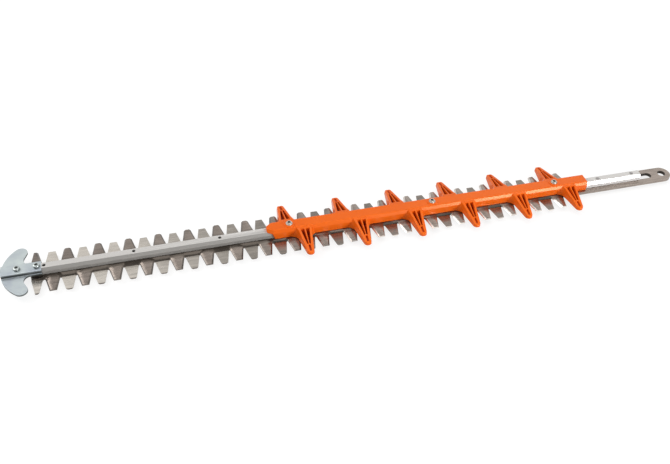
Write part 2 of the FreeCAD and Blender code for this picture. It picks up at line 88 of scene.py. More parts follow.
class Nodes:
    """Adds nodes to one shader tree and links them."""

    def __init__(self, tree: Tree) -> None:
        """Keeps the tree, emptied of its default nodes."""
        self.tree = tree
        tree.nodes.clear()

    def add(self, kind: str, sockets: dict[Any, Any] | None = None, **settings: Any) -> Node:
        """Adds a node.

        Args:
            kind: the node's type without its "ShaderNode" prefix.
            sockets: a value or a socket to link for each input, by name or number.
            settings: attributes of the node.

        Returns:
            The node.
        """
        node = self.tree.nodes.new(kind if kind.startswith("Node") else "ShaderNode" + kind)
        for key, value in settings.items():
            setattr(node, key, value)
        for key, value in (sockets or {}).items():
            if isinstance(value, Socket):
                self.tree.links.new(value, node.inputs[key])
            else:
                node.inputs[key].default_value = value
        return node

    def maths(self, operation: str, first: Any, second: Any = 0.0) -> Socket:
        """Result of one Math node."""
        return self.add("Math", {0: first, 1: second}, operation=operation).outputs[0]

    def inverse(self, mask: Socket) -> Socket:
        """A mask turned round."""
        return self.maths("SUBTRACT", 1.0, mask)

    def mix(self, factor: Any, first: Any, second: Any) -> Socket:
        """Mixes two colours.

        Args:
            factor: the second colour's share.
            first: a colour or a socket.
            second: a colour or a socket.

        Returns:
            The mixed colour.
        """
        sides = [(*side, 1.0) if isinstance(side, tuple) else side for side in (first, second)]
        node = self.add("Mix", {0: factor, 6: sides[0], 7: sides[1]}, data_type="RGBA")
        return node.outputs[2]

    def between(self, factor: Socket, first: Any, second: Any) -> Socket:
        """Value between two values."""
        return self.add("Mix", {0: factor, 2: first, 3: second}, data_type="FLOAT").outputs[0]

    def scaled(self, colour: Socket, factor: Socket) -> Socket:
        """Colour times a value."""
        return self.add("VectorMath", {0: colour, "Scale": factor}, operation="SCALE").outputs[0]

    def span(self, mask: Socket, low: float, high: float) -> Socket:
        """A mask from 0 to 1 laid over the range from low to high."""
        return self.add("MapRange", {"Value": mask, "To Min": low, "To Max": high}).outputs[0]

    def level(self) -> Socket:
        """How level a face lies: the size of its true normal's Z."""
        normal = self.add("SeparateXYZ", {0: self.add("NewGeometry").outputs["True Normal"]})
        return self.maths("ABSOLUTE", normal.outputs["Z"])

    def recess(self) -> Socket:
        """The point attribute that marks the bottom of sockets and grooves."""
        return self.add("Attribute", attribute_name="recess", attribute_type="GEOMETRY").outputs["Fac"]

    def group(self, tree: Tree, sockets: dict[str, Any]) -> Socket:
        """First output of a shared effect."""
        return self.add("Group", sockets, node_tree=tree).outputs[0]


class Effects:
    """Shader node groups shared by the finishes. Each puts out one mask."""

    NOISE_LOW = 0.3
    NOISE_HIGH = 0.7

    def __init__(self) -> None:
        """Makes the three groups."""
        self.streaks = self._streaks()
        self.mottle = self._mottle()
        self.step = self._step()

    @staticmethod
    def _start(name: str, inputs: dict[str, str]) -> tuple[Nodes, Any, Node]:
        """Makes an empty group with one mask output.

        Args:
            name: the group's name.
            inputs: each input's kind, by its label.

        Returns:
            The group's nodes, its inputs as sockets and its output node.
        """
        tree = bpy.data.node_groups.new(name, "ShaderNodeTree")
        for label, kind in inputs.items():
            tree.interface.new_socket(label, in_out="INPUT", socket_type="NodeSocket" + kind)
        tree.interface.new_socket("Mask", in_out="OUTPUT", socket_type="NodeSocketFloat")
        nodes = Nodes(tree)
        return nodes, nodes.add("NodeGroupInput").outputs, nodes.add("NodeGroupOutput")

    def _spread(self, nodes: Nodes, noise: Node, result: Node) -> Tree:
        """Spreads a noise over 0 to 1 and puts it out.

        Args:
            nodes: the group's nodes.
            noise: the noise node.
            result: the group's output node.

        Returns:
            The group.
        """
        mask = nodes.add("MapRange", {"Value": noise.outputs[0], "From Min": self.NOISE_LOW,
                                      "From Max": self.NOISE_HIGH})
        nodes.tree.links.new(mask.outputs[0], result.inputs[0])
        return nodes.tree

    def _streaks(self) -> Tree:
        """Makes long thin noise, drawn out along X.

        Returns:
            The group.
        """
        nodes, entry, result = self._start(
            "drawn_streaks", {"Vector": "Vector", "Along": "Float", "Across": "Float"})
        scale = nodes.add("CombineXYZ", {"X": entry["Along"], "Y": entry["Across"], "Z": entry["Across"]})
        drawn = nodes.add("VectorMath", {0: entry["Vector"], 1: scale.outputs[0]}, operation="MULTIPLY")
        noise = nodes.add("TexNoise", {"Vector": drawn.outputs[0], "Scale": 1.0, "Detail": 5.0,
                                       "Roughness": 0.65})
        return self._spread(nodes, noise, result)

    def _mottle(self) -> Tree:
        """Makes even cloudy noise.

        Returns:
            The group.
        """
        nodes, entry, result = self._start("mottle", {"Vector": "Vector", "Scale": "Float"})
        noise = nodes.add("TexNoise", {"Vector": entry["Vector"], "Scale": entry["Scale"], "Detail": 4.0,
                                       "Roughness": 0.6})
        return self._spread(nodes, noise, result)

    def _step(self) -> Tree:
        """Makes a soft step from 0 to 1 where a value passes an edge.

        Returns:
            The group.
        """
        nodes, entry, result = self._start(
            "soft_step", {"Value": "Float", "Edge": "Float", "Half Width": "Float"})
        low = nodes.maths("SUBTRACT", entry["Edge"], entry["Half Width"])
        high = nodes.maths("ADD", entry["Edge"], entry["Half Width"])
        mask = nodes.add("MapRange", {"Value": entry["Value"], "From Min": low, "From Max": high},
                         interpolation_type="SMOOTHSTEP")
        nodes.tree.links.new(mask.outputs[0], result.inputs[0])
        return nodes.tree

    def past(self, nodes: Nodes, value: Socket, border: Border, unit: float = MM) -> Socket:
        """Masks where a value lies past a border.

        Args:
            nodes: the material's nodes.
            value: the value to test.
            border: where the mask changes, and half of the change's width.
            unit: metres in the border's unit, or 1 where the value is a plain number.

        Returns:
            The mask.
        """
        edge, half_width = border
        return nodes.group(self.step, {"Value": value, "Edge": edge * unit, "Half Width": half_width * unit})


class Finish:
    """Start of a material: its nodes, its object coordinates and its Principled shader."""

    def __init__(self, name: str, metallic: float, tint: Colour = (1.0, 1.0, 1.0),
                 gloss: float = 0.5) -> None:
        """Makes an empty material.

        Args:
            name: the material's name.
            metallic: the shader's Metallic value.
            tint: the shader's Specular Tint.
            gloss: the shader's Specular IOR Level.
        """
        self.material = bpy.data.materials.new(name)
        self.material.use_nodes = True
        self.nodes = Nodes(self.material.node_tree)
        self.place = self.nodes.add("TexCoord").outputs["Object"]
        self.shader = self.nodes.add("BsdfPrincipled", {"Metallic": metallic, "Specular Tint": (*tint, 1.0),
                                                        "Specular IOR Level": gloss})
        self.nodes.add("OutputMaterial", {"Surface": self.shader.outputs[0]})

    def axes(self) -> Any:
        """Object coordinates as sockets X, Y and Z."""
        return self.nodes.add("SeparateXYZ", {0: self.place}).outputs

    def streaks(self, effects: Effects, along: float, across: float) -> Socket:
        """Mask of streaks along X."""
        return self.nodes.group(effects.streaks, {"Vector": self.place, "Along": along, "Across": across})

    def clouds(self, effects: Effects, scale: float) -> Socket:
        """Mask of cloudy noise."""
        return self.nodes.group(effects.mottle, {"Vector": self.place, "Scale": scale})

    def feed(self, socket: str, source: Socket) -> None:
        """Links a colour, a mask or a normal to the shader."""
        self.nodes.tree.links.new(source, self.shader.inputs[socket])

    def bump(self, height: Socket, strength: float) -> None:
        """Raises the surface by a mask."""
        bump = self.nodes.add("Bump", {"Height": height, "Strength": strength, "Distance": RELIEF_DEPTH})
        self.feed("Normal", bump.outputs[0])


@dataclass(frozen=True)
class DrawnMetal:
    """Bead-blasted metal with fine lines along X.

    Its sides carry painted shade towards the tip and painted light towards the rear.
    """

    name: str
    dark: Colour
    light: Colour
    # Side colours: painted shade towards the tip, painted light towards the rear.
    shaded_side_tip: Colour
    lit_side_rear: Colour
    smooth: float
    rough: float
    along: float
    across: float
    metallic: float = 0.35
    level_border: Border = (0.75, 0.2)
    side_light_border: Border = (-250.0, 120.0)
    side_shade: Pair = (0.88, 1.08)
    relief: float = 0.05

    def material(self, effects: Effects) -> Material:
        """Makes the material. Sides are told by how far their normal leans from upright.

        Args:
            effects: the shared node groups.

        Returns:
            The material.
        """
        finish = Finish(self.name, self.metallic)
        nodes = finish.nodes
        lines = finish.streaks(effects, self.along, self.across)
        level = effects.past(nodes, nodes.level(), self.level_border, 1.0)
        # Sides get painted shade towards the tip and painted light towards the rear, following how light
        # falls along the bar.
        rearward = effects.past(nodes, finish.axes()["X"], self.side_light_border)
        side = nodes.mix(rearward, self.shaded_side_tip, self.lit_side_rear)
        shaded = nodes.scaled(side, nodes.span(lines, *self.side_shade))
        top = nodes.mix(lines, self.dark, self.light)
        finish.feed("Base Color", nodes.mix(level, shaded, top))
        finish.feed("Roughness", nodes.span(lines, self.rough, self.smooth))
        finish.bump(lines, self.relief)
        return finish.material


@dataclass(frozen=True)
class BladeSteel:
    """Blade steel: dull faces, brighter bevels and one face that is ground bright by the other blade."""

    name: str
    ground_edge: float
    ground_above: bool
    # Painted shade of the strip beside the rail, where the rail's shadow falls, with its half width.
    strip_shade: Colour
    strip_shade_half: float
    dull: Colour = (0.40, 0.34, 0.298)
    dull_dark: Colour = (0.33, 0.28, 0.245)
    dull_tip: Colour = (0.265, 0.226, 0.20)
    # Painted shade on the walls of holes and slots.
    hole_shade: Colour = (0.05, 0.042, 0.036)
    bevel: Colour = (0.82, 0.765, 0.71)
    # Bevels towards the tip take this painted shade. The bright bevel colour towards the rear is partly a
    # painted highlight.
    bevel_shade: Colour = (0.20, 0.175, 0.155)
    # The ground face's pale colour towards the tip is a painted reflection. Past it, the face turns darker.
    ground: Colour = (0.785, 0.732, 0.66)
    ground_past_sheen: Colour = (0.275, 0.245, 0.215)
    # Painted shade of the strip where the guard covers it: wider and paler.
    guard_shade: Colour = (0.21, 0.175, 0.15)
    guard_shade_half: float = 16.5
    strip_soft: float = 3.4
    ground_soft: float = 0.05
    hole_half: float = 6.5
    hole_end: float = 79.0
    flat_border: Border = (0.9, 0.06)
    standing_border: Border = (0.3, 0.1)
    honed_border: Border = (14.5, 1.5)
    tip_border: Border = (-680.0, 80.0)
    sheen_border: Border = (-544.0, 150.0)
    covered_border: Border = (-455.0, 15.0)
    bevel_light_border: Border = (-360.0, 60.0)
    strip_shade_border: Border = (-60.0, 20.0)
    along: float = 40.0
    across: float = 330.0
    cloud_scale: float = 60.0
    shade: Pair = (0.74, 1.14)
    roughness: Pair = (0.21, 0.33)
    metallic: float = 0.9
    relief: float = 0.12

    def material(self, effects: Effects) -> Material:
        """Makes the material.

        The ground face lies past the height ground_edge. Bevels are told by how far their normal
        leans from upright, and hole walls by that and their place near the centre line; hole walls take a
        painted shade. A painted shade darkens the strip beside the rail, where the rail's shadow falls; it
        is wider and paler where the guard covers it. The ground face is pale towards the tip as a painted
        reflection, and bevels take a painted shade towards the tip.

        Args:
            effects: the shared node groups.

        Returns:
            The material.
        """
        finish = Finish(self.name, self.metallic)
        nodes = finish.nodes
        axes = finish.axes()
        lines = finish.streaks(effects, self.along, self.across)
        clouds = finish.clouds(effects, self.cloud_scale)
        level = nodes.level()
        outward = nodes.maths("ABSOLUTE", axes["Y"])
        flat = effects.past(nodes, level, self.flat_border, 1.0)

        above = effects.past(nodes, axes["Z"], (self.ground_edge, self.ground_soft))
        ground = nodes.maths("MULTIPLY", flat, above if self.ground_above else nodes.inverse(above))
        # Painted reflection: the ground face is pale towards the tip and darker past sheen_border.
        past_sheen = effects.past(nodes, axes["X"], self.sheen_border)
        pale = nodes.mix(past_sheen, self.ground, self.ground_past_sheen)

        rearward = effects.past(nodes, axes["X"], self.tip_border)
        dull = nodes.mix(rearward, self.dull_tip, nodes.mix(clouds, self.dull_dark, self.dull))
        honed = effects.past(nodes, outward, self.honed_border)
        leaning = nodes.maths("MULTIPLY", nodes.inverse(flat), honed)
        # Painted shade on bevels towards the tip, painted highlight on them towards the rear.
        bevel_lit = effects.past(nodes, axes["X"], self.bevel_light_border)
        edge = nodes.mix(bevel_lit, self.bevel_shade, self.bevel)

        # Painted shade beside the rail, where its shadow falls; wider and paler under the guard, and none
        # towards the rear.
        covered = effects.past(nodes, axes["X"], self.covered_border)
        strip = nodes.between(covered, self.strip_shade_half * MM, self.guard_shade_half * MM)
        strip_shade = nodes.mix(covered, self.strip_shade, self.guard_shade)
        beside = nodes.group(effects.step, {"Value": outward, "Edge": strip,
                                            "Half Width": self.strip_soft * MM})
        behind = effects.past(nodes, axes["X"], self.strip_shade_border)
        unshaded = nodes.maths("MAXIMUM", beside, behind)
        bare = nodes.mix(unshaded, strip_shade, nodes.mix(leaning, dull, edge))

        # Painted shade on the walls of holes and slots, near the centre line.
        standing = nodes.inverse(effects.past(nodes, level, self.standing_border, 1.0))
        inner = nodes.maths("MULTIPLY", nodes.maths("LESS_THAN", outward, self.hole_half * MM),
                            nodes.maths("LESS_THAN", axes["X"], self.hole_end * MM))
        in_hole = nodes.maths("MULTIPLY", standing, inner)
        face = nodes.mix(in_hole, nodes.mix(ground, bare, pale), self.hole_shade)
        finish.feed("Base Color", nodes.scaled(face, nodes.span(lines, *self.shade)))
        finish.feed("Roughness", nodes.span(clouds, *self.roughness))
        finish.bump(lines, self.relief)
        return finish.material


@dataclass(frozen=True)
class PlatedMetal:
    """Plated or blackened metal with cloudy patches.

    Driver sockets, where a mesh marks them, and upright faces are painted darker as painted shade.
    """

    name: str
    dark: Colour
    light: Colour
    # socket and edge: painted shade in driver sockets and on upright faces.
    socket: Colour
    edge: Colour
    smooth: float
    rough: float
    scale: float
    level_border: Border = (0.45, 0.3)
    metallic: float = 0.92

    def material(self, effects: Effects) -> Material:
        """Makes the material. Upright faces take the edges' colour, a painted shade.

        Args:
            effects: the shared node groups.

        Returns:
            The material.
        """
        finish = Finish(self.name, self.metallic)
        nodes = finish.nodes
        clouds = finish.clouds(effects, self.scale)
        level = effects.past(nodes, nodes.level(), self.level_border, 1.0)
        # Upright faces take a painted shade, and marked sockets a darker painted shade.
        metal = nodes.mix(level, self.edge, nodes.mix(clouds, self.dark, self.light))
        finish.feed("Base Color", nodes.mix(nodes.recess(), metal, self.socket))
        finish.feed("Roughness", nodes.span(clouds, self.smooth, self.rough))
        return finish.material


@dataclass(frozen=True)
class MouldedPlastic:
    """Satin moulded plastic, a little uneven in colour, its grooves darkened by painted shade."""

    name: str
    deep: Colour
    clear: Colour
    groove: Colour
    tint: Colour
    gloss: float
    smooth: float
    rough: float
    cloud_scale: float = 18.0
    grain_scale: float = 1400.0
    relief: float = 0.06

    def material(self, effects: Effects) -> Material:
        """Makes the material.

        Args:
            effects: the shared node groups.

        Returns:
            The material.
        """
        finish = Finish(self.name, 0.0, self.tint, self.gloss)
        nodes = finish.nodes
        clouds = finish.clouds(effects, self.cloud_scale)
        plain = nodes.mix(clouds, self.deep, self.clear)
        # Grooves and pockets marked by the recess attribute take a painted shade.
        finish.feed("Base Color", nodes.mix(nodes.recess(), plain, self.groove))
        finish.feed("Roughness", nodes.span(clouds, self.smooth, self.rough))
        finish.bump(finish.clouds(effects, self.grain_scale), self.relief)
        return finish.material


@dataclass
class Shells:
    """Closed numpy surfaces gathered into one mesh."""

    points: list[Array] = field(default_factory=list)
    faces: list[list[int]] = field(default_factory=list)
    recess: list[Array] = field(default_factory=list)
    count: int = 0

    def add(self, grid: Array, ring: bool = False, recess: Array | None = None) -> None:
        """Adds a grid whose columns close on themselves.

        Args:
            grid: points by rows and columns, in millimetres.
            ring: rows close on themselves too. Otherwise the first and last row are capped.
            recess: a mark by rows and columns, 1 at the bottom of a socket or groove.
        """
        rows, columns = grid.shape[:2]
        row, column = np.meshgrid(np.arange(rows if ring else rows - 1), np.arange(columns), indexing="ij")
        next_row, next_column = (row + 1) % rows, (column + 1) % columns
        quads = np.stack([row * columns + column, row * columns + next_column,
                          next_row * columns + next_column, next_row * columns + column], axis=-1)
        self.faces += (quads.reshape(-1, 4) + self.count).tolist()
        if not ring:
            loop = np.arange(columns) + self.count
            self.faces += [loop[::-1].tolist(), (loop + (rows - 1) * columns).tolist()]
        marks = np.zeros((rows, 1)) if recess is None else recess
        self.recess.append(np.broadcast_to(marks, (rows, columns)).ravel())
        self.points.append(grid.reshape(-1, 3))
        self.count += rows * columns

    def mesh(self, name: str, sharp_deg: float) -> Mesh:
        """Makes the mesh in metres, its faces outwards.

        Args:
            name: the mesh's name.
            sharp_deg: the angle from which an edge stays sharp.

        Returns:
            The mesh.
        """
        mesh = bpy.data.meshes.new(name)
        mesh.from_pydata((np.concatenate(self.points) * MM).tolist(), [], self.faces)
        mark = mesh.attributes.new("recess", "FLOAT", "POINT")
        mark.data.foreach_set("value", np.concatenate(self.recess).astype(np.float32))
        face_outwards(mesh, 0.0)
        smooth(mesh, sharp_deg)
        return mesh


def face_outwards(mesh: Mesh, merge: float) -> None:
    """Turns all faces outwards.

    Args:
        mesh: the mesh to change.
        merge: points closer than this are merged first, in metres. Zero merges none.
    """
    work = bmesh.new()
    work.from_mesh(mesh)
    if merge:
        bmesh.ops.remove_doubles(work, verts=work.verts, dist=merge)
    bmesh.ops.recalc_face_normals(work, faces=work.faces)
    work.to_mesh(mesh)
    work.free()


def smooth(mesh: Mesh, sharp_deg: float) -> None:
    """Shades a mesh smooth, but for edges sharper than sharp_deg."""
    mesh.shade_smooth()
    mesh.set_sharp_from_angle(angle=math.radians(sharp_deg))


def add_piece(mesh: Mesh, material: Material, body: Body, nodes: list[str]) -> None:
    """Puts a mesh in the scene in place of CAD nodes.

    Args:
        mesh: the piece's mesh, in the CAD frame.
        material: its finish.
        body: the CAD body that it rides on.
        nodes: the CAD nodes that it stands for.
    """
    piece = bpy.data.objects.new(mesh.name, mesh)
    bpy.context.collection.objects.link(piece)
    mesh.materials.clear()
    mesh.materials.append(material)
    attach(piece, body.value)
    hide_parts(*nodes)
    log.info("%s: %d faces, for %s", piece.name, len(mesh.polygons), ", ".join(nodes))


def soft_step(place: Array, edge: Array | float, width: float) -> Array:
    """Smooth step from 0 to 1 where place passes edge, over a width."""
    share = np.clip((place - edge) / width + 0.5, 0.0, 1.0)
    return share * share * (3.0 - 2.0 * share)


def quarter_drop(distance: Array, radius: float) -> Array:
    """How far a rounded end falls away at a distance from the end, for a quarter circle."""
    inside = np.clip(radius - distance, 0.0, radius)
    return radius - np.sqrt(radius ** 2 - inside ** 2)


def rounded_rim(radius: float, top: float, edge: float) -> Profile:
    """Makes the profile of a quarter circle from an upright side to a flat top.

    Args:
        radius: the side's radius.
        top: the top's height.
        edge: the quarter circle's radius.

    Returns:
        Its points as radius and height.
    """
    turn = np.linspace(0.0, np.pi / 2, 6)
    radii = radius - edge + edge * np.cos(turn)
    heights = top - edge + edge * np.sin(turn)
    return tuple(zip(radii.tolist(), heights.tolist()))


@dataclass(frozen=True)
class Fang:
    """One guard fang with two grooves and a pocket, pointing to +Y from the bar's centre line."""

    root_in: float = 7.0
    wall_in: float = 8.0
    buried_lift: float = 8.0
    guard_half: float = 9.1
    reach: float = 44.8
    lift: float = 0.6
    root_width: float = 19.5
    tip_width: float = 8.4
    root_height: float = 12.5
    tip_height: float = 4.2
    tip_radius: float = 3.9
    crown_tip_radius: float = 2.57
    nose_radius: float = 1.5
    crown_loss: float = 1.461
    flare_long: float = 6.5
    flare_long_run: float = 6.6
    flare_short: float = 4.0
    flare_short_run: float = 4.8
    flare_power: float = 2.2
    flare_crown_share: float = 0.15
    rib: float = 2.7
    floor_z: float = 1.8
    rib_root_half: float = 1.15
    rib_tip_half: float = 0.65
    groove_start: float = 10.5
    groove_end: float = 32.0
    pocket_start: float = 33.2
    pocket_end: float = 41.7
    pocket_half: float = 1.2
    pocket_depth: float = 2.0
    pocket_shade: float = 0.8
    wall_run: float = 0.5
    edge_radius: float = 0.55
    edge_share: float = 0.4
    column_limits: Pair = (0.7, 0.98)
    flank_steps: tuple[float, ...] = (0.3, 0.6, 0.9, 1.0)

    def share(self, out: Array) -> Array:
        """Share of the way from the guard's wall to the tip."""
        return np.clip((out - self.guard_half) / (self.reach - self.guard_half), 0.0, 1.0)

    def ridge(self, out: Array) -> Array:
        """Height of the sloping top."""
        return self.root_height + self.share(out) * (self.tip_height - self.root_height)

    def between(self, place: Array, low: Array | float, high: Array | float) -> Array:
        """1 from low to high, with a smooth step at each."""
        return soft_step(place, low, self.wall_run) * (1 - soft_step(place, high, self.wall_run))

    def rows(self) -> Array:
        """Places rows close together where the form turns.

        Returns:
            Distances from the centre line, one to a row.
        """
        turns = np.array([self.groove_start, self.groove_end, self.pocket_start, self.pocket_end])
        walls = np.add.outer(turns, self.wall_run * WALL_STEPS).ravel()
        tip = self.reach - self.tip_radius + self.tip_radius * np.sin(np.linspace(0.3, np.pi / 2, 12))
        run = self.wall_run
        spans = ((self.root_in, self.wall_in - 0.4 * run, 4),
                 (self.wall_in, self.groove_start - 1.2 * run, 5),
                 (self.groove_start + run, self.groove_end - run, 26),
                 (self.pocket_start + 1.2 * run, self.pocket_end - 1.4 * run, 9))
        spread = np.concatenate([np.linspace(*span) for span in spans] + [walls, tip])
        return np.unique(np.round(spread, 2))[:, None]

    def side(self, out: Array, flare: float, run: float) -> tuple[Array, Array, Array]:
        """Half of each section, from beside the centre rib over the edge and down to the foot.

        The half width at a height runs straight from a foot outline to a narrower crown outline. Both
        taper to a rounded tip and widen at the root by a flare that falls off as a power. Grooves and
        pocket are sunk by smooth steps across and along.

        Args:
            out: rows of distances from the centre line.
            flare: widening at the root.
            run: how far out the flare reaches.

        Returns:
            Distances across, heights and how deep each point lies in a groove or the pocket, by rows and
            columns.
        """
        from_tip = self.reach - out
        straight = (self.root_width + self.share(out) * (self.tip_width - self.root_width)) / 2
        widening = flare * np.clip(1 - (out - self.guard_half) / run, 0.0, 1.0) ** self.flare_power
        foot = straight + widening - quarter_drop(from_tip, self.tip_radius)
        crown = (straight - self.crown_loss + self.flare_crown_share * widening
                 - quarter_drop(from_tip, self.crown_tip_radius))
        slope = (crown - foot) / (self.root_height - self.lift)
        top = self.ridge(out) - quarter_drop(from_tip, self.nose_radius)
        edge = foot + slope * (top - self.lift)
        round_off = np.minimum(self.edge_radius, self.edge_share * edge)

        along = np.clip((out - self.groove_start) / (self.groove_end - self.groove_start), 0.0, 1.0)
        centre = self.rib_root_half + along * (self.rib_tip_half - self.rib_root_half)
        outer = straight - self.crown_loss - self.rib
        half_gap = (self.pocket_start - self.groove_end) / 2
        to_pocket = soft_step(out, self.groove_end + half_gap, half_gap)
        turned = centre + (self.pocket_half - self.rib_tip_half) * to_pocket
        beyond = np.maximum(outer, turned + 2 * self.wall_run)
        near = self.wall_run * WALL_STEPS[None, :]
        across = np.concatenate([turned + near, (turned + beyond) / 2, beyond + near, (beyond + edge) / 2],
                                axis=1)
        limits = np.linspace(*self.column_limits, across.shape[1])
        across = np.minimum(across, (edge - round_off) * limits)
        groove = (self.between(out, self.groove_start, self.groove_end)
                  * self.between(across, centre, outer))
        pocket = (self.between(out, self.pocket_start, self.pocket_end)
                  * (1 - soft_step(across, self.pocket_half, self.wall_run)))
        pocket_middle = np.array((self.pocket_start + self.pocket_end) / 2)
        pocket_floor = self.ridge(pocket_middle) - self.pocket_depth
        height = top + groove * (self.floor_z - top) + pocket * (pocket_floor - top)

        turn = np.linspace(0.0, np.pi / 2, 5)[None, :]
        edge_across = edge - round_off + round_off * np.sin(turn)
        edge_height = top - round_off + round_off * np.cos(turn)
        down = np.array([self.flank_steps])
        bottom = np.where(out < self.wall_in, self.buried_lift, self.lift)
        flank_height = (top - round_off) * (1 - down) + bottom * down
        flank_across = foot + slope * (flank_height - self.lift)
        # Groove and pocket marks, which the plastic's finish turns into painted shade.
        sunk = np.maximum(groove, self.pocket_shade * pocket)
        flush = np.zeros_like(np.concatenate([edge_across, flank_across], axis=1))
        return (np.concatenate([across, edge_across, flank_across], axis=1),
                np.concatenate([height, edge_height, flank_height], axis=1),
                np.concatenate([sunk, flush], axis=1))

    def grid(self) -> tuple[Array, Array]:
        """Joins both halves to closed section loops along the fang.

        Returns:
            The points, and how deep each lies in a groove or the pocket, by rows and columns.
        """
        out = self.rows()
        long_x, long_z, long_sunk = self.side(out, self.flare_long, self.flare_long_run)
        short_x, short_z, short_sunk = self.side(out, self.flare_short, self.flare_short_run)
        across = np.concatenate([long_x, -short_x[:, ::-1]], axis=1)
        height = np.concatenate([long_z, short_z[:, ::-1]], axis=1)
        sunk = np.concatenate([long_sunk, short_sunk[:, ::-1]], axis=1)
        return np.stack([across, np.broadcast_to(out, across.shape), height], axis=-1), sunk


@dataclass(frozen=True)
class Turned:
    """A turned part with an optional driver socket, whose radius swings by socket_swing at each lobe."""

    profile: Profile
    socket: Profile = ()
    socket_swing: float = 0.0
    lobes: int = 6
    steps: int = 72

    def grid(self, x: float) -> Array:
        """Turns the profile round an upright axis.

        Args:
            x: the axis's place along the bar.

        Returns:
            Points by rows along the profile and columns round the axis.
        """
        line = np.array(self.profile + self.socket)
        swing = np.concatenate([np.zeros(len(self.profile)), np.full(len(self.socket), self.socket_swing)])
        angle = np.linspace(0.0, 2 * np.pi, self.steps, endpoint=False)[None, :]
        radius = line[:, :1] + swing[:, None] * np.cos(self.lobes * angle)
        height = np.broadcast_to(line[:, 1:], radius.shape)
        return np.stack([x + radius * np.cos(angle), radius * np.sin(angle), height], axis=-1)

    def marks(self) -> Array:
        """1 for each row inside the socket but its rim."""
        return np.concatenate([np.zeros(len(self.profile) + min(1, len(self.socket))),
                               np.ones(max(0, len(self.socket) - 1))])[:, None]


